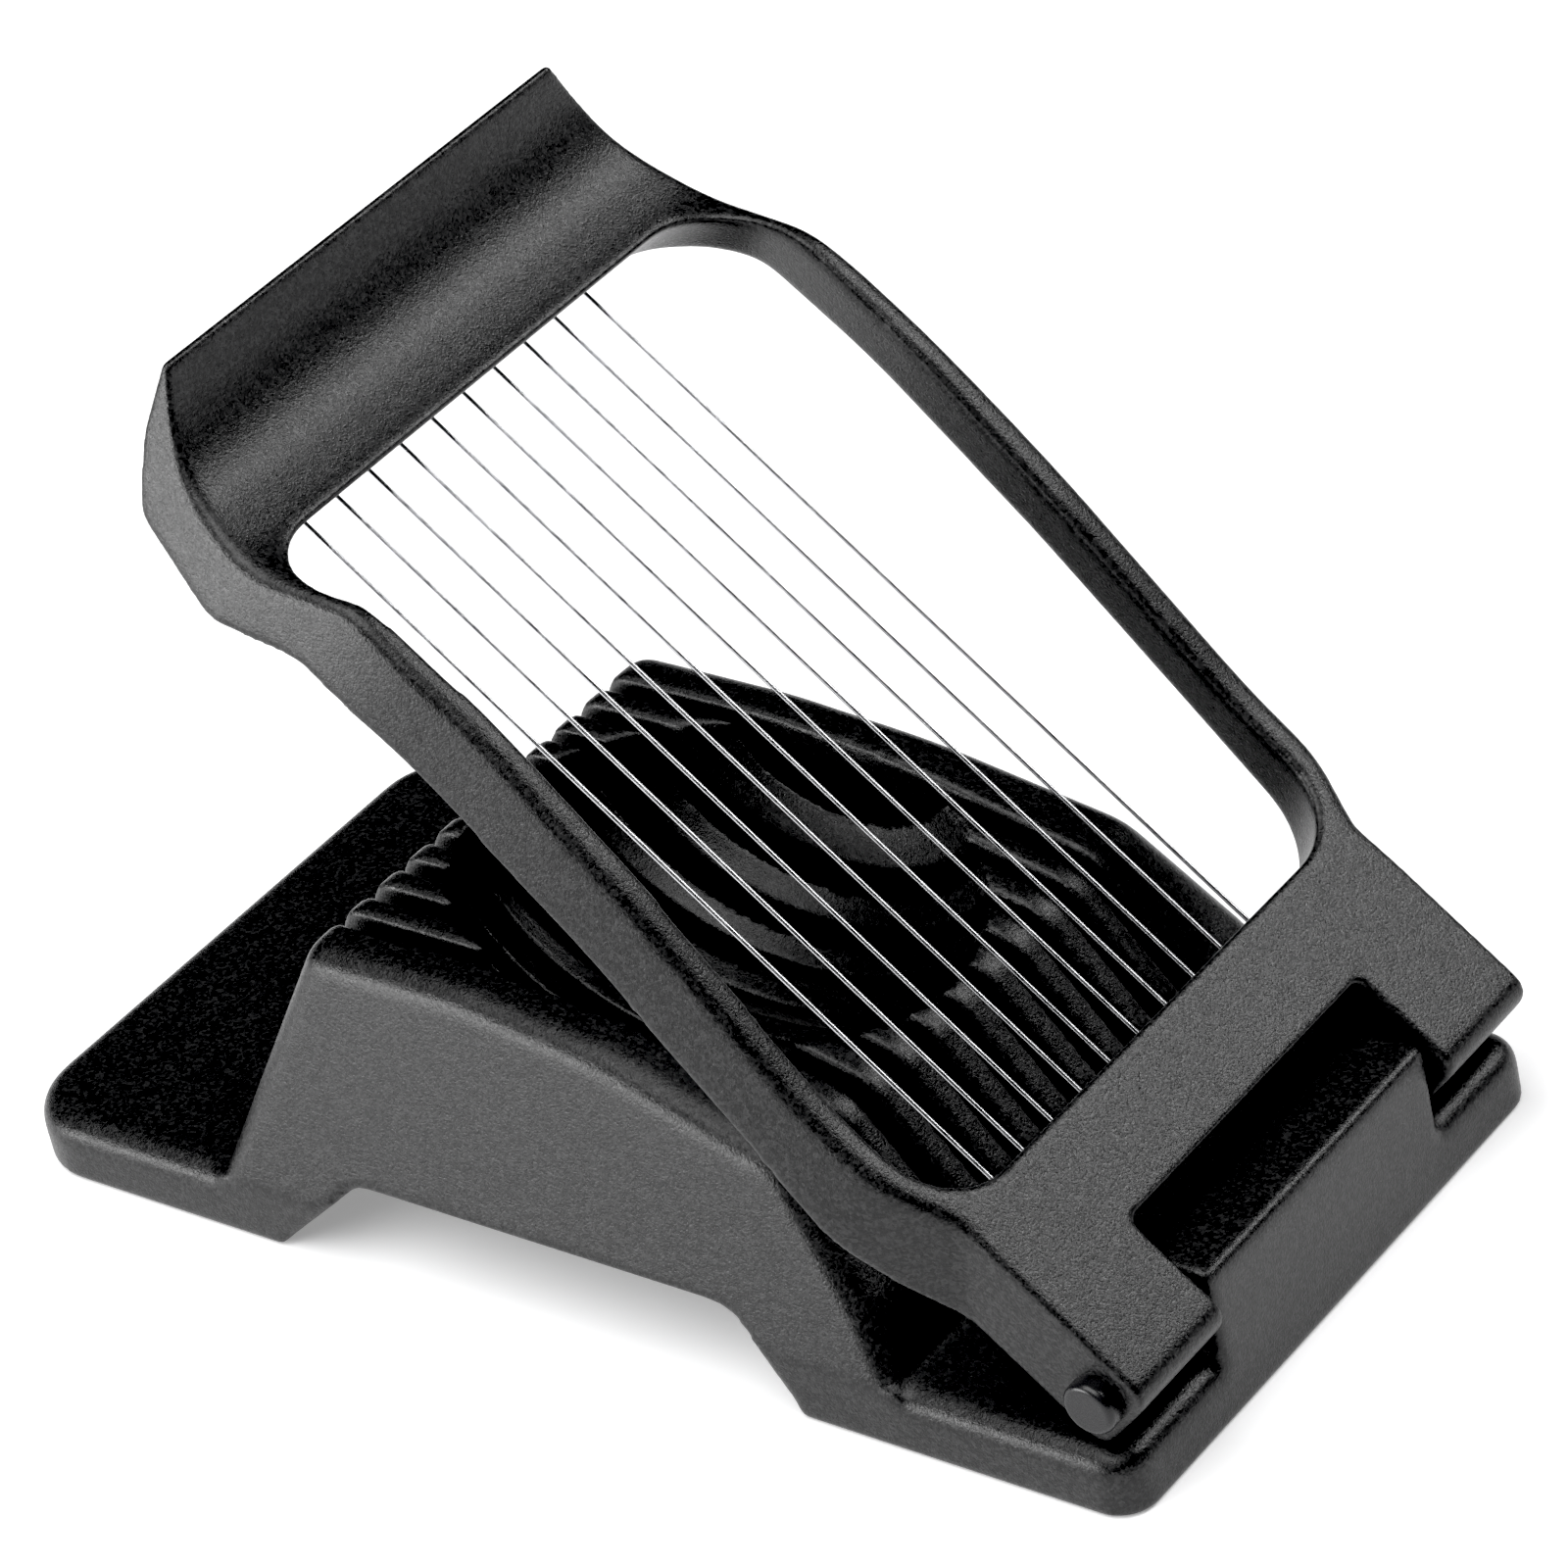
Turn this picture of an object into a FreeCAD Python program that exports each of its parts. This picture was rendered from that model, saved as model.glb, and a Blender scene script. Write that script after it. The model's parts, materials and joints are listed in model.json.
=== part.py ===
"""Egg slicer: a cast base with a slotted egg cradle, and a hinged frame of cutting wires.

Frame of the part: origin under the middle of the whole slicer at rest, +Z up and +X
towards the hinge, so the thumb scoop points towards -X. The lid's own frame has its
origin on the hinge axis and lies level when the lid is closed: distances towards the
thumb scoop are called reach, and heights are measured from the hinge axis.
"""
import FreeCAD, Part
import math
import os
import re
import Sketcher

Vector = FreeCAD.Vector

DIMENSIONS = {
    # floor plate
    "free_length": 72.5,
    "hinge_length": 73.4,
    "half_width": 36.73,
    "plate_height": 7.3,
    "free_corner_radius": 9.0,
    "hinge_corner_radius": 4.0,
    "plate_top_radius": 2.6,
    "plate_foot_radius": 0.6,
    # arch between the two feet
    "arch_free_foot": 35.2,
    "arch_free_shoulder": 22.5,
    "arch_hinge_shoulder": 27.0,
    "arch_hinge_foot": 33.6,
    "arch_height": 10.8,
    "arch_free_radius": 5.0,
    "arch_hinge_radius": 8.0,
    "below_floor": 2.0,
    # egg cradle, seen from the side
    "web_root": 3.0,
    "cradle_free_foot": 42.0,
    "cradle_free_top": 28.4,
    "cradle_height": 35.0,
    "rim_fall_start": 8.0,
    "rim_middle": 10.0,
    "rim_middle_height": 32.9,
    "rim_shoulder": 32.5,
    "rim_shoulder_height": 27.2,
    "rim_shoulder_radius": 7.0,
    "cradle_hinge_side": 42.8,
    "cradle_hinge_side_height": 14.0,
    "cradle_hinge_foot": 46.3,
    "free_rim_radius": 3.0,
    "rim_blend_radius": 60.0,
    "hinge_foot_radius": 12.0,
    # egg cradle, seen from the end: its sides lean in
    "cradle_top_half_width": 28.87,
    "waste_half_width": 45.0,
    "waste_height": 60.0,
    "cradle_edge_radius": 3.2,
    # hollow for the egg
    "hollow_centre": 4.0,
    "hollow_centre_height": 37.0,
    "hollow_half_length": 30.5,
    "hollow_half_width": 24.2,
    "hollow_half_depth": 22.6,
    # wire slots
    "wire_count": 10,
    "wire_pitch": 5.0,
    "wire_spread": 45.0,
    "slot_outer": 23.5,
    "slot_inner": 21.5,
    "slot_floor": 9.4,
    "slot_run": 100.0,
    # hinge block on the base
    "block_back": 63.0,
    "block_height": 17.72,
    "block_half_width": 19.54,
    "block_root": 4.0,
    "block_back_radius": 2.0,
    "block_end_radius": 1.2,
    # hinge
    "base_middle": -1.15,
    "hinge_x": 70.05,
    "hinge_z": 13.25,
    "open_angle": 40.48,
    "rod_radius": 1.5,
    "rod_bore_radius": 1.55,
    "rod_half_length": 35.4,
    # rod caps
    "cap_radius": 2.9,
    "cap_seat": 34.8,
    "cap_face": 36.7,
    "cap_bore_depth": 35.5,
    "cap_edge_radius": 0.7,
    # lid casting, seen from above
    "ear_half_width": 34.8,
    "ear_blend_reach": 24.0,
    "ear_inner": 20.42,
    "ear_slot_reach": 9.56,
    "ear_slot_radius": 1.2,
    "ear_slot_end": 8.0,
    "hip_start_reach": 8.0,
    "hip_start": 34.5,
    "hip_reach": 13.5,
    "hip": 34.9,
    "hip_radius": 16.0,
    "waist_reach": 28.0,
    "waist": 41.2,
    "waist_radius": 14.0,
    "crest_reach": 72.0,
    "crest": 42.6,
    "crest_radius": 250.0,
    "shoulder_reach": 97.0,
    "shoulder": 42.6,
    "shoulder_radius": 60.0,
    "scoop_side_reach": 111.0,
    "scoop_side": 40.2,
    "scoop_side_radius": 60.0,
    "tip_reach": 133.0,
    "tip": 34.1,
    "side_inset": 5.4,
    "no_inset": 0.0,
    "outline_depth": 6.0,
    "outline_rise": 19.0,
    # window of the lid casting
    "window_inset": 4.5,
    "window_hinge_reach": 18.9,
    "window_hinge_half_width": 37.0,
    "window_hinge_radius": 10.0,
    "window_hinge_top_radius": 7.5,
    "window_free_reach": 114.4,
    "window_free_half_width": 39.0,
    "window_free_radius": 11.5,
    "window_free_top_radius": 6.5,
    # lid casting, seen from the side: top line
    "ear_end": 3.75,
    "ear_top": 5.1,
    "ear_top_radius": 2.2,
    "top_rise_reach": 37.0,
    "top_rise_radius": 60.0,
    "top_flank_reach": 64.0,
    "top_flank_height": 9.6,
    "top_flank_radius": 90.0,
    "top_crest_reach": 84.0,
    "top_crest_height": 11.8,
    "top_crest_radius": 60.0,
    "top_fall_reach": 101.0,
    "top_fall_height": 11.7,
    "top_fall_radius": 9.0,
    "scoop_near_reach": 111.5,
    "scoop_near_height": 4.8,
    "scoop_near_radius": 13.0,
    "scoop_far_reach": 123.5,
    "scoop_far_height": 3.7,
    "scoop_far_radius": 15.0,
    "lip_reach": 132.2,
    "lip_height": 11.6,
    "lip_radius": 0.5,
    # lid casting, seen from the side: bottom line
    "end_face_reach": 128.9,
    "end_face_height": 3.2,
    "end_face_radius": 8.0,
    "heel_reach": 124.3,
    "heel_depth": 3.0,
    "heel_radius": 3.5,
    "sole_reach": 112.0,
    "sole_radius": 7.0,
    "bottom_fall_reach": 102.5,
    "bottom_fall_height": 2.6,
    "bottom_fall_radius": 8.0,
    "bottom_crest_reach": 88.0,
    "bottom_crest_height": 3.8,
    "bottom_crest_radius": 60.0,
    "bottom_flank_reach": 64.0,
    "bottom_flank_height": 1.6,
    "bottom_flank_radius": 90.0,
    "ear_bottom_reach": 21.0,
    "ear_bottom": 5.05,
    "ear_bottom_radius": 10.0,
    "ear_heel_radius": 2.0,
    # cutting wires
    "wire_radius": 0.24,
    "wire_depth": 2.88,
    "wire_hinge_reach": 13.0,
    "wire_length": 107.2,
    # seats for the wires and their clamps, under the casting
    "seat_depth": 2.63,
    "seat_waste_depth": 8.0,
    "seat_half_width": 30.0,
    "hinge_seat_start": 11.7,
    "hinge_seat_end": 24.0,
    "free_seat_start": 110.0,
    "free_seat_end": 122.4,
    # wire clamps
    "clamp_half_width": 29.2,
    "clamp_top_depth": 3.13,
    "clamp_thickness": 1.7,
    "clamp_edge_radius": 0.4,
    "hinge_clamp_start": 12.0,
    "hinge_clamp_end": 18.0,
    "free_clamp_start": 115.3,
    "free_clamp_end": 121.3,
    # clamp screws
    "screw_radius": 1.0,
    "screw_head_radius": 1.9,
    "screw_head_height": 0.95,
    "screw_length": 5.8,
    "screw_gap": 0.06,
    "screw_hole_radius": 1.1,
    "screw_bore_radius": 1.03,
    "screw_bore_rise": 1.2,
    "screw_side": 26.2,
    "screw_slot_half": 0.3,
    "screw_slot_depth": 0.45,
}

OUTPUT_FOLDER = "parts"
SCREW_SIDES = (-1, 0, 1)
CLAMP_SPANS = {
    "hinge": ("hinge_clamp_start", "hinge_clamp_end"),
    "free": ("free_clamp_start", "free_clamp_end"),
}
SHAPE_TOLERANCE = 1e-4

document = FreeCAD.newDocument("egg_slicer")
sheet = document.addObject("Spreadsheet::Sheet", "Dimensions")
for row, (alias, number) in enumerate(DIMENSIONS.items(), start=1):
    sheet.set(f"A{row}", alias)
    sheet.set(f"B{row}", str(number))
    sheet.setAlias(f"B{row}", alias)
document.recompute()


# ---- helpers ---------------------------------------------------------------------------


def bound(expression):
    """The expression with each dimension's name pointing at the sheet."""
    return re.sub(r"[a-z]\w*", lambda name: f"Dimensions.{name.group()}", expression)


def drive(item, **properties):
    """Bind an object's properties to expressions of the sheet's dimensions."""
    for name, expression in properties.items():
        item.setExpression(name.replace("__", "."), bound(expression))
    return item


def signed(term):
    """The present value of a term: names of dimensions, each added or taken away, or 0."""
    pieces = re.findall(r"([+-]?)\s*([a-z]\w*)", term)
    return sum(-DIMENSIONS[name] if sign == "-" else DIMENSIONS[name] for sign, name in pieces)


def new_body(name):
    body = document.addObject("PartDesign::Body", name)
    body.Label = name
    return body


def sketch_on(body, role, name, offset=None):
    """A sketch on one of the body's own origin planes."""
    sketch = body.newObject("Sketcher::SketchObject", name)
    plane = next(item for item in body.Origin.OriginFeatures if item.Role == role)
    sketch.AttachmentSupport = [(plane, "")]
    sketch.MapMode = "FlatFace"
    if offset:
        drive(sketch, AttachmentOffset__Base__z=offset)
    return sketch


def pinned(geometry, point, x_term, y_term):
    """Rules that hold a sketch point at a place given by two terms."""
    return [
        (Sketcher.Constraint("DistanceX", -1, 1, geometry, point, signed(x_term)), x_term),
        (Sketcher.Constraint("DistanceY", -1, 1, geometry, point, signed(y_term)), y_term),
    ]


def rule(kind, *where):
    """A rule between sketch geometries that has no size."""
    return (Sketcher.Constraint(kind, *where), None)


def add_rules(sketch, rules):
    """Add the rules, and bind the size of each one that has a term."""
    indexes = sketch.addConstraint([constraint for constraint, term in rules])
    for index, (constraint, term) in zip(indexes, rules):
        if term not in (None, "0"):
            sketch.setExpression(f"Constraints[{index}]", bound(term))


def corner_arc(before, spot, after, radius):
    """The counter-clockwise arc that rounds a corner, where it meets the side before and
    the side after, and whether it starts on the side before."""
    back = (before - spot).normalize()
    ahead = (after - spot).normalize()
    half_angle = back.getAngle(ahead) / 2
    reach = radius / math.tan(half_angle)
    centre = spot + (back + ahead).normalize() * (radius / math.sin(half_angle))
    entry = spot + back * reach
    leave = spot + ahead * reach
    turns_left = back.cross(ahead).z < 0
    first, last = (entry, leave) if turns_left else (leave, entry)
    first_angle = math.atan2(first.y - centre.y, first.x - centre.x)
    last_angle = math.atan2(last.y - centre.y, last.x - centre.x)
    if last_angle < first_angle:
        last_angle += 2 * math.pi
    ring = Part.Circle(centre, Vector(0, 0, 1), radius)
    return Part.ArcOfCircle(ring, first_angle, last_angle), entry, leave, turns_left


def outline(sketch, corners):
    """A closed outline through corners (x, y) or rounded corners (x, y, radius)."""
    spots = [Vector(signed(corner[0]), signed(corner[1]), 0) for corner in corners]
    count = len(corners)
    joints = []
    for index, corner in enumerate(corners):
        spot = spots[index]
        if len(corner) == 2:
            joints.append((None, spot, spot, None))
            continue
        after = spots[(index + 1) % count]
        joints.append(corner_arc(spots[index - 1], spot, after, DIMENSIONS[corner[2]]))
    lines = []
    for index in range(count):
        side = Part.LineSegment(joints[index][2], joints[(index + 1) % count][1])
        lines.append(sketch.addGeometry(side, False))
    rules = []
    for index, corner in enumerate(corners):
        before = lines[index - 1]
        after = lines[index]
        arc_shape, entry, leave, starts_before = joints[index]
        if arc_shape is None:
            rules.append(rule("Coincident", before, 2, after, 1))
            rules += pinned(after, 1, corner[0], corner[1])
            continue
        arc = sketch.addGeometry(arc_shape, False)
        mark = sketch.addGeometry(Part.Point(spots[index]), True)
        entry_end = 1 if starts_before else 2
        rules.append(rule("Tangent", before, 2, arc, entry_end))
        rules.append(rule("Tangent", after, 1, arc, 3 - entry_end))
        rules.append(rule("PointOnObject", mark, 1, before))
        rules.append(rule("PointOnObject", mark, 1, after))
        radius_rule = Sketcher.Constraint("Radius", arc, DIMENSIONS[corner[2]])
        rules.append((radius_rule, corner[2]))
        rules += pinned(mark, 1, corner[0], corner[1])
    add_rules(sketch, rules)


def rectangle(sketch, low_x, high_x, low_y, high_y):
    outline(sketch, [(low_x, low_y), (high_x, low_y), (high_x, high_y), (low_x, high_y)])


def circle(sketch, x_term, y_term, radius):
    """A circle whose centre is given by two terms."""
    centre = Vector(signed(x_term), signed(y_term), 0)
    shape = Part.Circle(centre, Vector(0, 0, 1), DIMENSIONS[radius])
    ring = sketch.addGeometry(shape, False)
    radius_rule = Sketcher.Constraint("Radius", ring, DIMENSIONS[radius])
    add_rules(sketch, pinned(ring, 3, x_term, y_term) + [(radius_rule, radius)])


def feature(body, kind, name, sketch=None, **properties):
    """A PartDesign feature on a sketch, with its sizes bound to the sheet."""
    item = body.newObject(f"PartDesign::{kind}", name)
    if sketch:
        item.Profile = sketch
        sketch.Visibility = False
    return drive(item, **properties)


def loft(body, kind, name, profile, section):
    """A straight-ruled loft between two sketches."""
    item = feature(body, kind, name, profile)
    item.Sections = [section]
    item.Ruled = True
    section.Visibility = False
    return item


def symmetric(item):
    item.SideType = "Symmetric"
    return item


def edges_where(item, wanted):
    """Names of the item's edges for which wanted(middle, edge) is true."""
    names = []
    for index, edge in enumerate(item.Shape.Edges, start=1):
        first, last = edge.ParameterRange
        if wanted(edge.valueAt((first + last) / 2), edge):
            names.append(f"Edge{index}")
    return names


def round_edges(body, name, item, wanted, radius):
    """Round the chosen edges of the body's last feature."""
    document.recompute()
    fillet = body.newObject("PartDesign::Fillet", name)
    fillet.Base = (item, edges_where(item, wanted))
    return drive(fillet, Radius=radius)


def along_z(edge):
    return abs(edge.tangentAt(edge.ParameterRange[0]).z) > 1 - SHAPE_TOLERANCE


def place_on_hinge(item):
    """Stand an object of the lid in its open rest position."""
    item.Placement.Rotation = FreeCAD.Rotation(Vector(0, 1, 0), DIMENSIONS["open_angle"])
    drive(
        item,
        Placement__Base__x="base_middle + hinge_x",
        Placement__Base__z="hinge_z",
        Placement__Rotation__Angle="open_angle",
    )
    return item


# ---- base ------------------------------------------------------------------------------


def make_cradle_block():
    """The cradle before its hollow and slots are cut: a block whose sides lean in."""
    body = new_body("cradle_block")
    sketch = sketch_on(body, "XZ_Plane", "cradle_side")
    outline(
        sketch,
        [
            ("-cradle_free_foot", "plate_height"),
            ("cradle_hinge_foot", "plate_height"),
            ("cradle_hinge_side", "cradle_hinge_side_height", "hinge_foot_radius"),
            ("rim_shoulder", "rim_shoulder_height", "rim_shoulder_radius"),
            ("rim_middle", "rim_middle_height", "rim_blend_radius"),
            ("-rim_fall_start", "cradle_height", "rim_blend_radius"),
            ("-cradle_free_top", "cradle_height", "free_rim_radius"),
        ],
    )
    symmetric(feature(body, "Pad", "cradle", sketch, Length="2 * half_width"))

    sketch = sketch_on(body, "YZ_Plane", "cradle_side_waste")
    for side in ("", "-"):
        outline(
            sketch,
            [
                (f"{side}half_width", "plate_height"),
                (f"{side}cradle_top_half_width", "cradle_height"),
                (f"{side}cradle_top_half_width", "waste_height"),
                (f"{side}waste_half_width", "waste_height"),
                (f"{side}waste_half_width", "plate_height"),
            ],
        )
    cradle = symmetric(feature(body, "Pocket", "cradle_draft", sketch, Length="4 * hinge_length"))
    foot = DIMENSIONS["plate_height"] + SHAPE_TOLERANCE
    inner = DIMENSIONS["cradle_top_half_width"] / 2
    round_edges(
        body,
        "cradle_edges",
        cradle,
        lambda middle, edge: middle.z > foot and abs(middle.y) > inner,
        "cradle_edge_radius",
    )
    return body


def make_base():
    """One casting: plate and feet, cradle with hollow and slots, and hinge block."""
    body = new_body("base")

    sketch = sketch_on(body, "XY_Plane", "plate_outline")
    outline(
        sketch,
        [
            ("-free_length", "-half_width", "free_corner_radius"),
            ("hinge_length", "-half_width", "hinge_corner_radius"),
            ("hinge_length", "half_width", "hinge_corner_radius"),
            ("-free_length", "half_width", "free_corner_radius"),
        ],
    )
    plate = feature(body, "Pad", "plate", sketch, Length="plate_height")
    top = DIMENSIONS["plate_height"]
    plate = round_edges(
        body, "plate_top_edge", plate, lambda middle, edge: middle.z > top - 0.1, "plate_top_radius"
    )
    plate = round_edges(
        body, "plate_foot_edge", plate, lambda middle, edge: middle.z < 0.1, "plate_foot_radius"
    )

    sketch = sketch_on(body, "XZ_Plane", "web_side")
    rectangle(sketch, "-cradle_free_foot", "cradle_hinge_foot", "web_root", "plate_height")
    symmetric(feature(body, "Pad", "web", sketch, Length="2 * half_width"))
    with_cradle = body.newObject("PartDesign::Boolean", "with_cradle")
    with_cradle.Group = [make_cradle_block()]

    sketch = sketch_on(body, "XZ_Plane", "block_side")
    outline(
        sketch,
        [
            ("block_back", "block_root"),
            ("hinge_length", "block_root"),
            ("hinge_length", "block_height", "block_end_radius"),
            ("block_back", "block_height", "block_back_radius"),
        ],
    )
    symmetric(feature(body, "Pad", "hinge_block", sketch, Length="2 * block_half_width"))

    hollow = feature(
        body,
        "SubtractiveEllipsoid",
        "egg_hollow",
        Radius1="hollow_half_depth",
        Radius2="hollow_half_length",
        Radius3="hollow_half_width",
        Placement__Base__x="hollow_centre",
        Placement__Base__z="hollow_centre_height",
    )
    hollow.Angle1 = -90
    hollow.Angle2 = 90
    hollow.Angle3 = 360

    sketch = sketch_on(body, "XZ_Plane", "arch_side")
    outline(
        sketch,
        [
            ("-arch_free_foot", "0"),
            ("-arch_free_foot", "-below_floor"),
            ("arch_hinge_foot", "-below_floor"),
            ("arch_hinge_foot", "0"),
            ("arch_hinge_shoulder", "arch_height", "arch_hinge_radius"),
            ("-arch_free_shoulder", "arch_height", "arch_free_radius"),
        ],
    )
    symmetric(feature(body, "Pocket", "arch", sketch, Length="4 * half_width"))

    sketch = sketch_on(body, "YZ_Plane", "slot_section")
    rectangle(sketch, "-slot_outer", "-slot_inner", "slot_floor", "waste_height")
    slot = symmetric(feature(body, "Pocket", "wire_slot", sketch, Length="slot_run"))
    pattern = body.newObject("PartDesign::LinearPattern", "wire_slots")
    pattern.Originals = [slot]
    pattern.Direction = (sketch, ["H_Axis"])
    drive(pattern, Length="wire_spread", Occurrences="wire_count")
    body.Tip = pattern

    sketch = sketch_on(body, "XZ_Plane", "rod_bore_section")
    circle(sketch, "hinge_x", "hinge_z", "rod_bore_radius")
    symmetric(feature(body, "Pocket", "rod_bore", sketch, Length="4 * half_width"))
    return drive(body, Placement__Base__x="base_middle")


# ---- lid casting -----------------------------------------------------------------------


def make_frame_profile():
    """The casting seen from the side, as wide as it ever gets: ears, arms and scoop."""
    body = new_body("frame_profile")
    sketch = sketch_on(body, "XZ_Plane", "side_line")
    outline(
        sketch,
        [
            ("ear_end", "ear_top", "ear_top_radius"),
            ("-top_rise_reach", "ear_top", "top_rise_radius"),
            ("-top_flank_reach", "top_flank_height", "top_flank_radius"),
            ("-top_crest_reach", "top_crest_height", "top_crest_radius"),
            ("-top_fall_reach", "top_fall_height", "top_fall_radius"),
            ("-scoop_near_reach", "scoop_near_height", "scoop_near_radius"),
            ("-scoop_far_reach", "scoop_far_height", "scoop_far_radius"),
            ("-lip_reach", "lip_height", "lip_radius"),
            ("-end_face_reach", "end_face_height", "end_face_radius"),
            ("-heel_reach", "-heel_depth", "heel_radius"),
            ("-sole_reach", "-heel_depth", "sole_radius"),
            ("-bottom_fall_reach", "bottom_fall_height", "bottom_fall_radius"),
            ("-bottom_crest_reach", "bottom_crest_height", "bottom_crest_radius"),
            ("-bottom_flank_reach", "bottom_flank_height", "bottom_flank_radius"),
            ("-ear_bottom_reach", "-ear_bottom", "ear_bottom_radius"),
            ("ear_end", "-ear_bottom", "ear_heel_radius"),
        ],
    )
    symmetric(feature(body, "Pad", "side_block", sketch, Length="2 * waste_half_width"))
    return body


def plan_sketch(body, name, offset, inset):
    """The lid's outline seen from above, drawn in from its full width by an inset."""
    sides = [
        ("hip_start", "-hip_start_reach", None),
        ("hip", "-hip_reach", "hip_radius"),
        ("waist", "-waist_reach", "waist_radius"),
        ("crest", "-crest_reach", "crest_radius"),
        ("shoulder", "-shoulder_reach", "shoulder_radius"),
        ("scoop_side", "-scoop_side_reach", "scoop_side_radius"),
        ("tip", "-tip_reach", None),
    ]
    left = [(reach, f"{width} - {inset}", radius) for width, reach, radius in sides]
    right = [(reach, f"-{width} + {inset}", radius) for width, reach, radius in reversed(sides)]
    corners = [corner if corner[2] else corner[:2] for corner in left + right]
    sketch = sketch_on(body, "XY_Plane", name, offset)
    outline(sketch, corners)
    return sketch


def window_sketch(body, name, offset, inset, hinge_radius, free_radius):
    """The window's outline seen from above, drawn in from its full size by an inset."""
    hinge_end = f"-window_hinge_reach - {inset}"
    free_end = f"-window_free_reach + {inset}"
    sketch = sketch_on(body, "XY_Plane", name, offset)
    outline(
        sketch,
        [
            (hinge_end, f"-window_hinge_half_width + {inset}", hinge_radius),
            (hinge_end, f"window_hinge_half_width - {inset}", hinge_radius),
            (free_end, f"window_free_half_width - {inset}", free_radius),
            (free_end, f"-window_free_half_width + {inset}", free_radius),
        ],
    )
    return sketch


def make_wire_frame():
    """The lid casting: the plan outline with leaning sides, cut to the side profile."""
    body = new_body("wire_frame")
    top = "outline_rise - outline_depth"
    wide = plan_sketch(body, "plan_bottom", "-outline_depth", "no_inset")
    narrow = plan_sketch(body, "plan_top", top, "side_inset")
    loft(body, "AdditiveLoft", "leaning_plan", wide, narrow)

    sketch = sketch_on(body, "XY_Plane", "ear_outline", "-outline_depth")
    rectangle(sketch, "-ear_blend_reach", "ear_slot_end", "-ear_half_width", "ear_half_width")
    feature(body, "Pad", "ears", sketch, Length="outline_rise")

    cut_to_profile = body.newObject("PartDesign::Boolean", "cut_to_profile")
    cut_to_profile.Type = "Common"
    cut_to_profile.Group = [make_frame_profile()]

    wide = window_sketch(
        body,
        "window_bottom",
        "-outline_depth",
        "no_inset",
        "window_hinge_radius",
        "window_free_radius",
    )
    narrow = window_sketch(
        body, "window_top", top, "window_inset", "window_hinge_top_radius", "window_free_top_radius"
    )
    loft(body, "SubtractiveLoft", "window", wide, narrow)

    sketch = sketch_on(body, "XY_Plane", "ear_slot_outline")
    outline(
        sketch,
        [
            ("-ear_slot_reach", "-ear_inner", "ear_slot_radius"),
            ("ear_slot_end", "-ear_inner"),
            ("ear_slot_end", "ear_inner"),
            ("-ear_slot_reach", "ear_inner", "ear_slot_radius"),
        ],
    )
    symmetric(feature(body, "Pocket", "ear_slot", sketch, Length="2 * outline_rise"))

    for name, start, end in (
        ("hinge_seat", "-hinge_seat_end", "-hinge_seat_start"),
        ("free_seat", "-free_seat_end", "-free_seat_start"),
    ):
        sketch = sketch_on(body, "XY_Plane", f"{name}_outline", "-seat_waste_depth")
        rectangle(sketch, start, end, "-seat_half_width", "seat_half_width")
        seat = feature(body, "Pocket", name, sketch, Length="seat_waste_depth - seat_depth")
        seat.Reversed = True
    for end_name, (start, end) in CLAMP_SPANS.items():
        for side in SCREW_SIDES:
            feature(
                body,
                "SubtractiveCylinder",
                f"screw_bore_{end_name}",
                Radius="screw_bore_radius",
                Height="seat_depth + screw_bore_rise",
                Placement__Base__x=f"-({start} + {end}) / 2",
                Placement__Base__y=f"{side} * screw_side",
                Placement__Base__z="-seat_depth",
            )

    sketch = sketch_on(body, "XZ_Plane", "rod_hole_section")
    circle(sketch, "0", "0", "rod_radius")
    symmetric(feature(body, "Pocket", "rod_hole", sketch, Length="4 * half_width"))
    return place_on_hinge(body)


# ---- small parts of the lid ------------------------------------------------------------


def place_on_lid(item, reach, across, height, tilt="0"):
    """Stand an object at a place on the open lid, tipped from the lid's upright."""
    angle = f"{bound('open_angle')} * 1 deg"
    reach = bound(reach)
    height = bound(height)
    item.Placement.Rotation = FreeCAD.Rotation(Vector(0, 1, 0), DIMENSIONS["open_angle"])
    item.setExpression("Placement.Rotation.Angle", f"{bound('open_angle')} + {tilt}")
    item.setExpression(
        "Placement.Base.x",
        f"{bound('base_middle + hinge_x')} - {reach} * cos({angle})"
        f" + ({height}) * sin({angle})",
    )
    item.setExpression("Placement.Base.y", bound(across))
    item.setExpression(
        "Placement.Base.z",
        f"{bound('hinge_z')} + {reach} * sin({angle}) + ({height}) * cos({angle})",
    )
    return item


def make_wire(index):
    """One cutting wire, pinched under both ends of the window."""
    wire = document.addObject("Part::Cylinder", f"cutting_wire_{index + 1:02d}")
    wire.Label = wire.Name
    drive(wire, Radius="wire_radius", Height="wire_length")
    across = f"wire_pitch * ({index} - (wire_count - 1) / 2)"
    return place_on_lid(wire, "wire_hinge_reach", across, "-wire_depth", tilt="-90")


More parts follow.
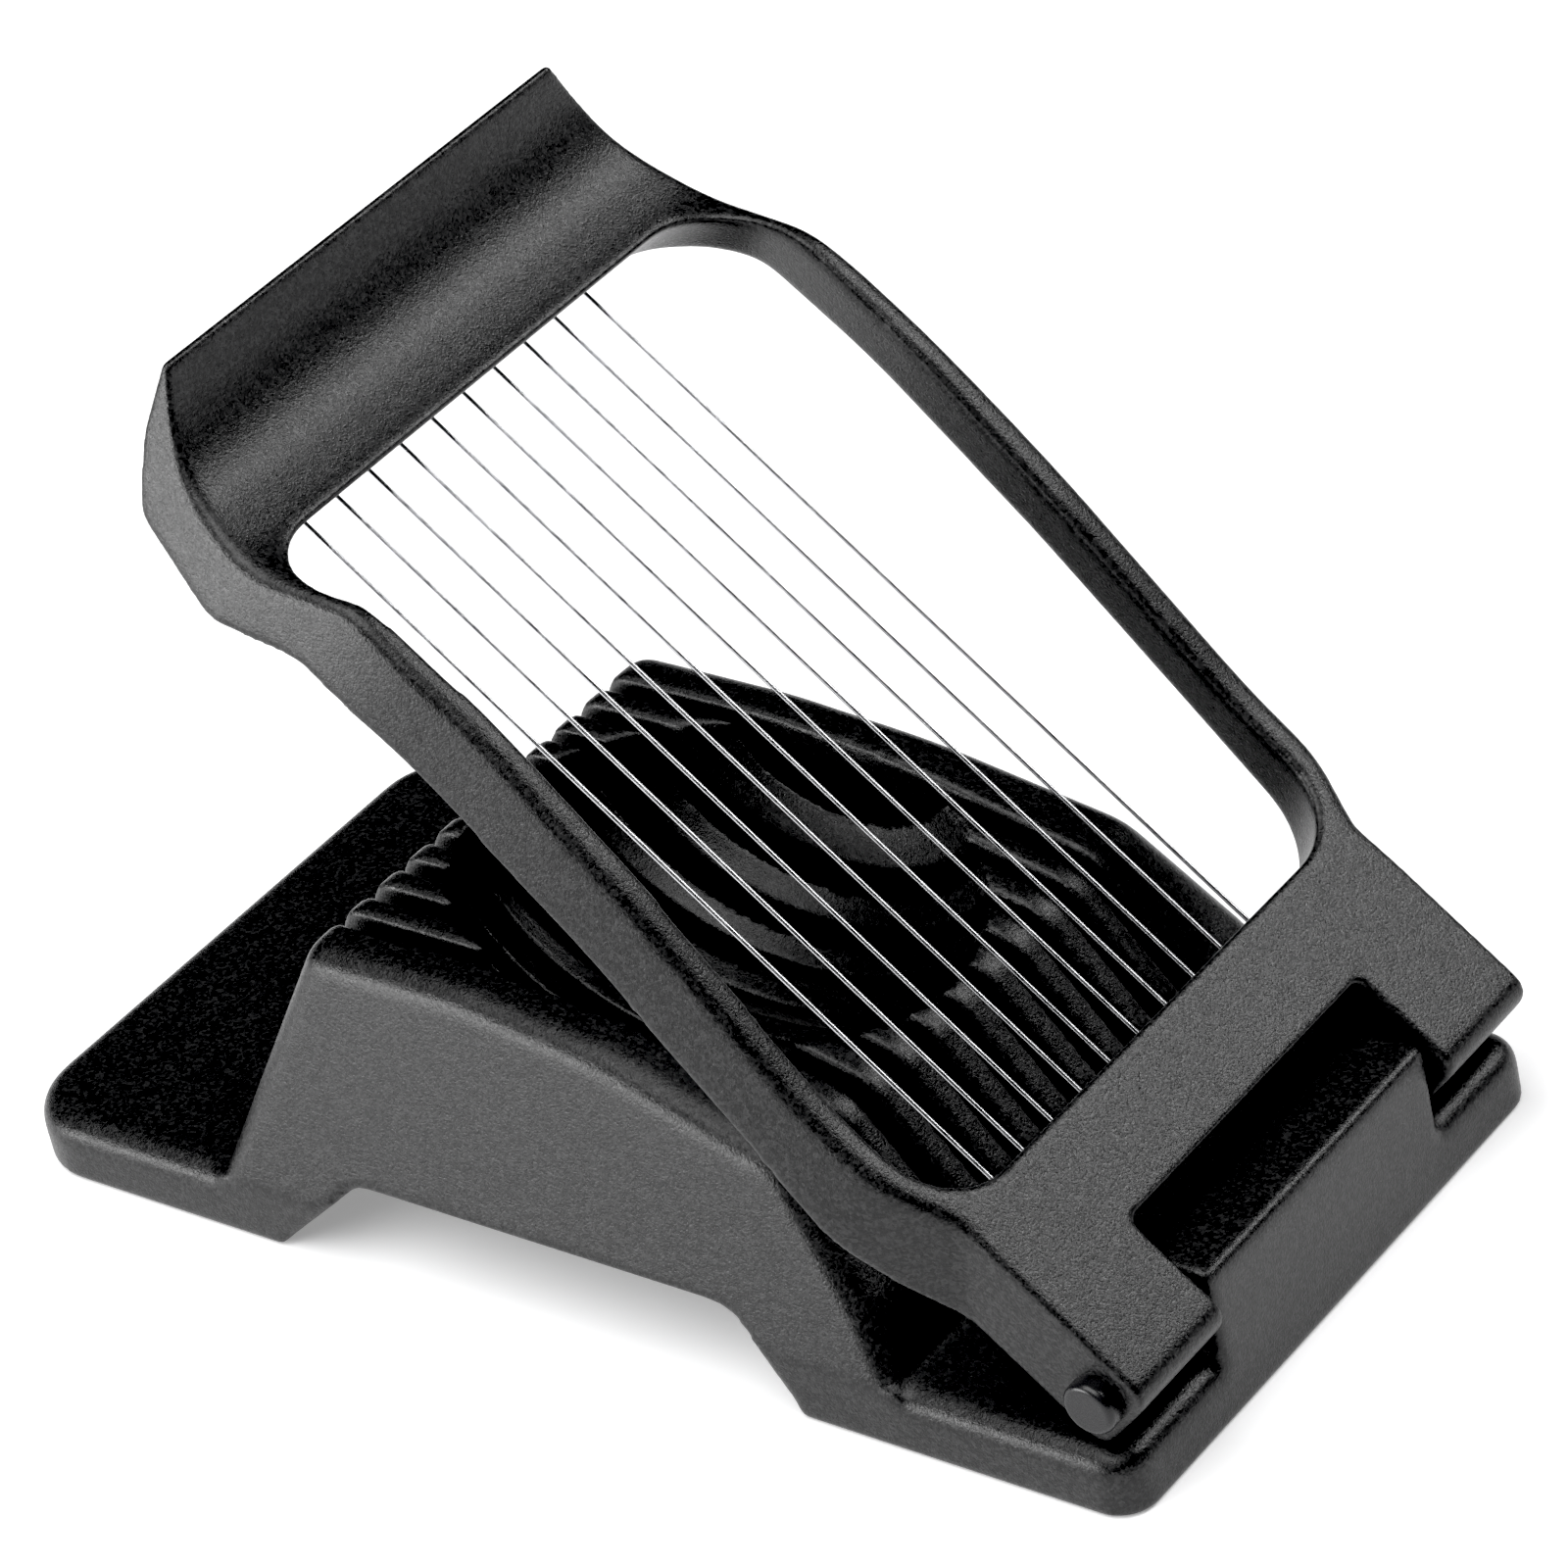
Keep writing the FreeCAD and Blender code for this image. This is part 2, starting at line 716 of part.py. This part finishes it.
def make_clamp(name, start, end):
    """A flat bar that pinches the wires against the casting, with countersunk holes."""
    body = new_body(name)
    sketch = sketch_on(body, "XY_Plane", f"{name}_outline", "-clamp_top_depth - clamp_thickness")
    rectangle(sketch, f"-{end}", f"-{start}", "-clamp_half_width", "clamp_half_width")
    bar = feature(body, "Pad", f"{name}_bar", sketch, Length="clamp_thickness")
    round_edges(
        body, f"{name}_corners", bar, lambda middle, edge: along_z(edge), "clamp_edge_radius"
    )
    for side in SCREW_SIDES:
        spot = {
            "Placement__Base__x": f"-({start} + {end}) / 2",
            "Placement__Base__y": f"{side} * screw_side",
            "Placement__Base__z": "-clamp_top_depth - clamp_thickness",
        }
        feature(
            body,
            "SubtractiveCylinder",
            f"{name}_hole",
            Radius="screw_hole_radius",
            Height="clamp_thickness",
            **spot,
        )
        feature(
            body,
            "SubtractiveCone",
            f"{name}_countersink",
            Radius1="screw_head_radius + screw_gap",
            Radius2="screw_radius + screw_gap",
            Height="screw_head_height",
            **spot,
        )
    return place_on_hinge(body)


def make_screw(name, start, end, side):
    """A countersunk clamp screw: its head is flush with the underside of the bar."""
    body = new_body(name)
    sketch = sketch_on(body, "XZ_Plane", f"{name}_section")
    outline(
        sketch,
        [
            ("0", "0"),
            ("screw_head_radius", "0"),
            ("screw_radius", "screw_head_height"),
            ("screw_radius", "screw_length"),
            ("0", "screw_length"),
        ],
    )
    turned = feature(body, "Revolution", f"{name}_turned", sketch)
    turned.ReferenceAxis = (sketch, ["V_Axis"])
    turned.Angle = 360
    sketch = sketch_on(body, "XY_Plane", f"{name}_drive")
    rectangle(
        sketch, "-screw_head_radius", "screw_head_radius", "-screw_slot_half", "screw_slot_half"
    )
    drive_slot = feature(body, "Pocket", f"{name}_slot", sketch, Length="screw_slot_depth")
    drive_slot.Reversed = True
    reach = f"({start} + {end}) / 2"
    return place_on_lid(body, reach, f"{side} * screw_side", "-clamp_top_depth - clamp_thickness")


def make_rod():
    """The hinge rod, pressed into both ears."""
    body = new_body("hinge_rod")
    sketch = sketch_on(body, "XZ_Plane", "rod_section")
    circle(sketch, "0", "0", "rod_radius")
    symmetric(feature(body, "Pad", "rod", sketch, Length="2 * rod_half_length"))
    return place_on_hinge(body)


def make_cap(name, side):
    """A push-on cap: a domed head with a blind bore for the rod's end."""
    body = new_body(name)
    sketch = sketch_on(body, "XY_Plane", f"{name}_section")
    outline(
        sketch,
        [
            ("rod_radius", f"{side}cap_seat"),
            ("cap_radius", f"{side}cap_seat"),
            ("cap_radius", f"{side}cap_face", "cap_edge_radius"),
            ("0", f"{side}cap_face"),
            ("0", f"{side}cap_bore_depth"),
            ("rod_radius", f"{side}cap_bore_depth"),
        ],
    )
    cap = feature(body, "Revolution", f"{name}_head", sketch)
    cap.ReferenceAxis = (sketch, ["V_Axis"])
    cap.Angle = 360
    return place_on_hinge(body)


parts = [make_base(), make_wire_frame(), make_rod()]
parts += [make_cap("rod_cap_near", "-"), make_cap("rod_cap_far", "")]
parts += [make_wire(index) for index in range(DIMENSIONS["wire_count"])]
for end_name, (start, end) in CLAMP_SPANS.items():
    parts.append(make_clamp(f"wire_clamp_{end_name}", start, end))
    for number, side in enumerate(SCREW_SIDES, start=1):
        parts.append(make_screw(f"clamp_screw_{end_name}_{number}", start, end, side))
document.recompute()

# ---- checks and export -----------------------------------------------------------------

for item in document.Objects:
    if {"Invalid", "Error"} & set(item.State):
        raise RuntimeError(f"{item.Name} failed: {item.State}")
for part in parts:
    if part.Shape.isNull() or not part.Shape.isValid() or not part.Shape.Solids:
        raise RuntimeError(f"{part.Label} has no valid solid")
    box = part.Shape.BoundBox
    print(f"{part.Label}: {len(part.Shape.Solids)} solid, {part.Shape.Volume:.1f} mm3, {box}")

os.makedirs(OUTPUT_FOLDER, exist_ok=True)
for part in parts:
    part.Shape.exportStep(os.path.join(OUTPUT_FOLDER, part.Label + ".step"))
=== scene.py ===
"""Looks of the egg slicer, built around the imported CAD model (metres, the row frame).

The two castings are softened copies of their CAD nodes: the edges are rounded as on a
coated die casting. The steel and moulded pieces are the CAD nodes with materials.
"""
import json
import math

import bpy
import numpy as np
from mathutils import Matrix, Vector


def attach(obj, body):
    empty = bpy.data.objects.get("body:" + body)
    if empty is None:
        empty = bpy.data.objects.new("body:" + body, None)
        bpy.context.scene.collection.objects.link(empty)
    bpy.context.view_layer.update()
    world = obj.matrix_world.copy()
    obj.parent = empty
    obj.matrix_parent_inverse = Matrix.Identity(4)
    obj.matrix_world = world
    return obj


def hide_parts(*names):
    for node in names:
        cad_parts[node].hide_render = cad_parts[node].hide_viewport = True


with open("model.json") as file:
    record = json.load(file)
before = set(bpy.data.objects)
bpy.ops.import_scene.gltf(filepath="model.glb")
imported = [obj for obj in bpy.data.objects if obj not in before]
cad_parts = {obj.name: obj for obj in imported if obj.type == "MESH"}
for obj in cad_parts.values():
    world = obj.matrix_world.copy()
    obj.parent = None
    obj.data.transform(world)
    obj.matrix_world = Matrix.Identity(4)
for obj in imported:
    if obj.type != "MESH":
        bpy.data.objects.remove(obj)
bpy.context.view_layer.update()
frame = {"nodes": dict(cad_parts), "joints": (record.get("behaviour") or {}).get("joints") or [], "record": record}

MM = 0.001

# Softening of the castings: passes over the whole piece, then passes shared by place.
EARLY_PASSES = 4
SMOOTH_FACTOR = 0.5
WEIGHT_STEPS = 20

# Where the base's softening changes, from and to, in millimetres.
SLAT_RISE = (9, 13)
SLAT_SIDE = (26.5, 24.5)
SLAT_FREE_END = (-48, -45)
SLAT_HINGE_END = (48, 45)
SOLE_RISE = (0.6, 2.4)
SOLE_SHARE = 0.06
SLAT_LOSS = 0.88

# Where the lid's softening changes: reach from the hinge and height over it, closed.
EAR_REACH = (14, 24)
THUMB_EDGE_REACH = (127, 121)
UPPER_HEIGHT = (-4.5, -1.0)
LEAST_SHARE = 0.10
EAR_SHARE = 0.25
THUMB_EDGE_SHARE = 0.12
UNDERSIDE_SHARE = 0.70

# Floor and picture.
FLOOR_HALF = 4.0
FLOOR_GLOW = 0.30
BLACK_LEVEL = 0.020
AIM = (0, 0, 40 * MM)

# Camera, at the photograph's viewing angle and with a long lens.
CAMERA_PLACE = Vector((390.55, -395.6, 403.5)) * MM
CAMERA_LOOK = Vector((-0.5775, 0.6067, -0.5463))
CAMERA_UP = Vector((-0.2058, 0.5394, 0.8165))
CAMERA_LENS_MM = 151.14
CAMERA_SENSOR_MM = 36.0

# The lid's own frame: its hinge axis, and how far it stands open at rest.
JOINT = frame["joints"][0]
HINGE = Vector(JOINT["pos_m"])
OPEN_ANGLE = -math.radians(JOINT["range_deg"][0])
COS_OPEN = math.cos(OPEN_ANGLE)
SIN_OPEN = math.sin(OPEN_ANGLE)

# ---- node material helpers ----------------------------------------------------------------


class Nodes:
    """A material's node tree with short calls for making and joining nodes."""

    def __init__(self, name):
        self.material = bpy.data.materials.new(name)
        self.material.use_nodes = True
        self.tree = self.material.node_tree
        self.shader = self.tree.nodes["Principled BSDF"]
        self.place = self.tree.nodes.new("ShaderNodeTexCoord").outputs["Object"]

    def add(self, kind, settings=None, **inputs):
        """A node with properties from settings, and inputs given by name."""
        node = self.tree.nodes.new(kind)
        for key, value in (settings or {}).items():
            setattr(node, key, value)
        for key, value in inputs.items():
            self.put(node.inputs[key.replace("_", " ")], value)
        return node

    def put(self, socket, value):
        """Link another node's output to the socket, or set its value."""
        if isinstance(value, bpy.types.NodeSocket):
            self.tree.links.new(value, socket)
        else:
            socket.default_value = value

    def noise(self, size_mm, detail=2.0, roughness=0.5, stretch=None):
        """Noise whose features are about size_mm across."""
        place = self.place
        if stretch:
            mapping = self.add("ShaderNodeMapping", Vector=place, Scale=stretch)
            place = mapping.outputs["Vector"]
        node = self.add(
            "ShaderNodeTexNoise",
            Vector=place,
            Scale=1.0 / (size_mm * MM),
            Detail=detail,
            Roughness=roughness,
        )
        return node.outputs["Fac"]

    def ramp(self, factor, stops):
        """A colour ramp from a list of (place, value or colour)."""
        node = self.add("ShaderNodeValToRGB", Fac=factor)
        elements = node.color_ramp.elements
        for index, (place, value) in enumerate(stops):
            element = elements[index] if index < 2 else elements.new(place)
            element.position = place
            colour = value if isinstance(value, tuple) else (value,) * 3
            element.color = (*colour, 1.0)
        return node.outputs["Color"]

    def mix(self, factor, first, second):
        """Two colours mixed by a factor."""
        node = self.add("ShaderNodeMix", {"data_type": "RGBA"})
        self.put(node.inputs["Factor"], factor)
        self.put(node.inputs[6], first)
        self.put(node.inputs[7], second)
        return node.outputs[2]

    def bump(self, height, depth_mm, strength=1.0, after=None):
        """A normal from a height, on top of an earlier normal if one is given."""
        node = self.add(
            "ShaderNodeBump", Height=height, Distance=depth_mm * MM, Strength=strength
        )
        if after is not None:
            self.put(node.inputs["Normal"], after)
        return node.outputs["Normal"]

    def set(self, **inputs):
        """Set the shader's inputs by name, and give the finished material."""
        for key, value in inputs.items():
            self.put(self.shader.inputs[key.replace("_", " ")], value)
        return self.material


def powder_coat():
    """Satin black powder coat: a fine sandy grain, with paler grains and soft clouds."""
    nodes = Nodes("powder_coat")
    grain = nodes.noise(0.28, detail=2.0, roughness=0.7)
    orange_peel = nodes.noise(1.6, detail=1.0)
    cloud = nodes.noise(14.0, detail=3.0)
    cells = nodes.add("ShaderNodeTexVoronoi", Vector=nodes.place, Scale=1.0 / (0.32 * MM))
    random = nodes.add("ShaderNodeSeparateColor", Color=cells.outputs["Color"])
    pale = nodes.ramp(random.outputs["Red"], [(0.35, 0.0), (1.0, 1.0)])
    darkest = (0.0030, 0.0030, 0.0032)
    dark = (0.0048, 0.0048, 0.0050)
    base = nodes.ramp(cloud, [(0.3, darkest), (0.7, dark)])
    pale_grain = (0.028, 0.028, 0.0285, 1)
    tone = nodes.mix(pale, base, pale_grain)
    rough = nodes.ramp(grain, [(0.3, 0.24), (0.7, 0.40)])
    normal = nodes.bump(orange_peel, 0.05, 0.3)
    normal = nodes.bump(grain, 0.07, 1.0, after=normal)
    return nodes.set(
        Base_Color=tone, Roughness=rough, Specular_IOR_Level=0.45, Normal=normal
    )


def steel(name, tone, roughness, grain_mm, stretch):
    """Bright steel with fine drawn or ground lines and slight staining."""
    nodes = Nodes(name)
    lines = nodes.noise(grain_mm, detail=4.0, stretch=stretch)
    cloud = nodes.noise(6.0, detail=2.0)
    low = tuple(0.86 * value for value in tone)
    colour = nodes.mix(cloud, (*tone, 1), (*low, 1))
    rough = nodes.ramp(lines, [(0.3, roughness - 0.06), (0.7, roughness + 0.08)])
    return nodes.set(
        Base_Color=colour, Metallic=1.0, Roughness=rough, Normal=nodes.bump(lines, 0.01, 0.4)
    )


def moulded_black():
    """Semi-gloss black of the pin caps, with a faint moulded texture."""
    nodes = Nodes("cap_black")
    cloud = nodes.noise(2.5, detail=2.0)
    fine = nodes.noise(0.18, detail=2.0)
    colour = nodes.mix(cloud, (0.008, 0.008, 0.009, 1), (0.014, 0.014, 0.015, 1))
    rough = nodes.ramp(fine, [(0.3, 0.24), (0.7, 0.34)])
    return nodes.set(Base_Color=colour, Roughness=rough, Normal=nodes.bump(fine, 0.008, 0.4))


COATING = powder_coat()
MATERIALS = {
    "powder_coat": COATING,
    "wire_steel": steel("wire_steel", (0.66, 0.665, 0.68), 0.2, 1.5, (1, 1, 1)),
    "rod_steel": steel("rod_steel", (0.55, 0.55, 0.56), 0.3, 0.3, (1, 0.1, 1)),
    "clamp_steel": steel("clamp_steel", (0.5, 0.5, 0.51), 0.35, 0.3, (1, 0.05, 1)),
    "screw_steel": steel("screw_steel", (0.6, 0.6, 0.62), 0.25, 0.2, (1, 1, 1)),
    "cap_black": moulded_black(),
}


def dress(item, material):
    """Give the object one material in all its slots."""
    item.data.materials.clear()
    item.data.materials.append(material)


SLOT_OF = {part["node"]: part["material_slot"] for part in frame["record"]["subparts"]}
for name, item in frame["nodes"].items():
    dress(item, MATERIALS[SLOT_OF[name]])
    item.data.shade_smooth()

# ---- the two castings -----------------------------------------------------------------------


def evaluated(piece):
    """Make the result of the piece's modifiers its mesh."""
    graph = bpy.context.evaluated_depsgraph_get()
    mesh = bpy.data.meshes.new_from_object(piece.evaluated_get(graph))
    piece.modifiers.clear()
    piece.data = mesh


def ramped(value, low, high):
    """0 below low, 1 above high, and smooth between; low may be the larger one."""
    share = np.clip((value - low) / (high - low), 0, 1)
    return share * share * (3 - 2 * share)


def soften(node, name, voxel_mm, passes, faces, weigh):
    """A copy of a CAD node whose sharp edges are rounded as a coated casting's are.

    weigh gives each point's share of the smoothing from its place in millimetres.
    """
    piece = bpy.data.objects.new(name, frame["nodes"][node].data.copy())
    bpy.context.scene.collection.objects.link(piece)
    remesh = piece.modifiers.new("remesh", "REMESH")
    remesh.mode = "VOXEL"
    remesh.voxel_size = voxel_mm * MM
    early = piece.modifiers.new("early", "SMOOTH")
    early.factor = SMOOTH_FACTOR
    early.iterations = EARLY_PASSES
    evaluated(piece)
    places = np.empty(3 * len(piece.data.vertices))
    piece.data.vertices.foreach_get("co", places)
    weights = weigh(*(places.reshape(-1, 3).T / MM))
    group = piece.vertex_groups.new(name="softness")
    steps = np.round(weights * WEIGHT_STEPS).astype(int)
    for step in range(1, WEIGHT_STEPS + 1):
        chosen = np.flatnonzero(steps == step)
        if len(chosen):
            group.add(chosen.tolist(), step / WEIGHT_STEPS, "REPLACE")
    smooth = piece.modifiers.new("smooth", "SMOOTH")
    smooth.factor = SMOOTH_FACTOR
    smooth.iterations = passes
    smooth.vertex_group = group.name
    thin = piece.modifiers.new("thin", "DECIMATE")
    thin.ratio = min(1.0, faces / (2 * len(piece.data.polygons)))
    evaluated(piece)
    piece.vertex_groups.clear()
    piece.data.shade_smooth()
    dress(piece, COATING)
    return piece


def share_from(least, rise):
    """A share that grows from the least value to 1 as rise grows from 0 to 1."""
    return least + (1 - least) * rise


def base_softness(x, y, z):
    """Full smoothing on plate and cradle; little on the slats and the feet's soles."""
    slats = ramped(z, *SLAT_RISE) * ramped(np.abs(y), *SLAT_SIDE)
    slats *= ramped(x, *SLAT_FREE_END) * ramped(x, *SLAT_HINGE_END)
    return share_from(SOLE_SHARE, ramped(z, *SOLE_RISE)) * (1 - SLAT_LOSS * slats)


def lid_softness(x, y, z):
    """Most smoothing on the arms and window rim; less on ears, thumb edge, underside."""
    reach = (HINGE.x / MM - x) * COS_OPEN + (z - HINGE.z / MM) * SIN_OPEN
    height = (x - HINGE.x / MM) * SIN_OPEN + (z - HINGE.z / MM) * COS_OPEN
    ears = share_from(EAR_SHARE, ramped(reach, *EAR_REACH))
    thumb_edge = share_from(THUMB_EDGE_SHARE, ramped(reach, *THUMB_EDGE_REACH))
    upper = share_from(UNDERSIDE_SHARE, ramped(height, *UPPER_HEIGHT))
    return share_from(LEAST_SHARE, ears * thumb_edge * upper)


base_casting = soften("base", "base_casting", 0.45, 14, 180000, base_softness)
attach(base_casting, "base")
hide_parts("base")

frame_casting = soften("wire_frame", "wire_frame_casting", 0.22, 150, 190000, lid_softness)
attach(frame_casting, "lid")
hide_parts("wire_frame")

# ---- floor, light and camera ------------------------------------------------------------------


def floor():
    """A plain pale floor, faintly lit from within so that its shadows stay pale."""
    mesh = bpy.data.meshes.new("floor")
    signs = [(-1, -1), (1, -1), (1, 1), (-1, 1)]
    corners = [(x * FLOOR_HALF, y * FLOOR_HALF, 0) for x, y in signs]
    mesh.from_pydata(corners, [], [(0, 1, 2, 3)])
    item = bpy.data.objects.new("floor", mesh)
    bpy.context.scene.collection.objects.link(item)
    material = bpy.data.materials.new("floor_white")
    material.use_nodes = True
    shader = material.node_tree.nodes["Principled BSDF"]
    shader.inputs["Base Color"].default_value = (0.90, 0.90, 0.905, 1)
    shader.inputs["Roughness"].default_value = 0.9
    shader.inputs["Specular IOR Level"].default_value = 0.1
    shader.inputs["Emission Color"].default_value = (1, 1, 1, 1)
    shader.inputs["Emission Strength"].default_value = FLOOR_GLOW
    dress(item, material)


def soft_light(name, place, size, power):
    """A soft box at a place, aimed at the slicer; metres and watts."""
    data = bpy.data.lights.new(name, "AREA")
    data.shape = "RECTANGLE"
    data.size, data.size_y = size
    data.energy = power
    item = bpy.data.objects.new(name, data)
    bpy.context.scene.collection.objects.link(item)
    item.location = place
    direction = Vector(AIM) - Vector(place)
    item.rotation_euler = direction.to_track_quat("-Z", "Y").to_euler()


def around(azimuth, elevation, distance=1.2):
    """A place on a dome over the slicer, from its azimuth and elevation in degrees."""
    turn = math.radians(azimuth)
    rise = math.radians(elevation)
    flat = math.cos(rise)
    return (
        distance * math.cos(turn) * flat,
        distance * math.sin(turn) * flat,
        distance * math.sin(rise) + AIM[2],
    )


floor()
soft_light("overhead", around(262, 72, 1.3), (1.3, 1.3), 22.0)
soft_light("low_free_end", around(234, 9), (0.8, 0.4), 11.0)
soft_light("lid_sheen", around(53, 41), (0.40, 0.40), 6.6)

studio = bpy.data.worlds.new("studio")
studio.use_nodes = True
backdrop = studio.node_tree.nodes["Background"]
backdrop.inputs["Color"].default_value = (0.85, 0.92, 1.0, 1)
backdrop.inputs["Strength"].default_value = 0.01
bpy.context.scene.world = studio

view = bpy.context.scene.view_settings
view.view_transform = "Standard"
view.use_curve_mapping = True
view.curve_mapping.black_level = (BLACK_LEVEL,) * 3
view.curve_mapping.update()


def camera():
    """The camera, with CAMERA_UP pointing up in the picture."""
    data = bpy.data.cameras.new("camera")
    data.sensor_width = CAMERA_SENSOR_MM
    data.lens = CAMERA_LENS_MM
    data.clip_start = 0.01
    item = bpy.data.objects.new("camera", data)
    bpy.context.scene.collection.objects.link(item)
    look = CAMERA_LOOK.normalized()
    right = look.cross(CAMERA_UP).normalized()
    up = right.cross(look)
    turn = Matrix((right, up, -look)).transposed()
    item.matrix_world = Matrix.Translation(CAMERA_PLACE) @ turn.to_4x4()
    bpy.context.scene.camera = item


camera()
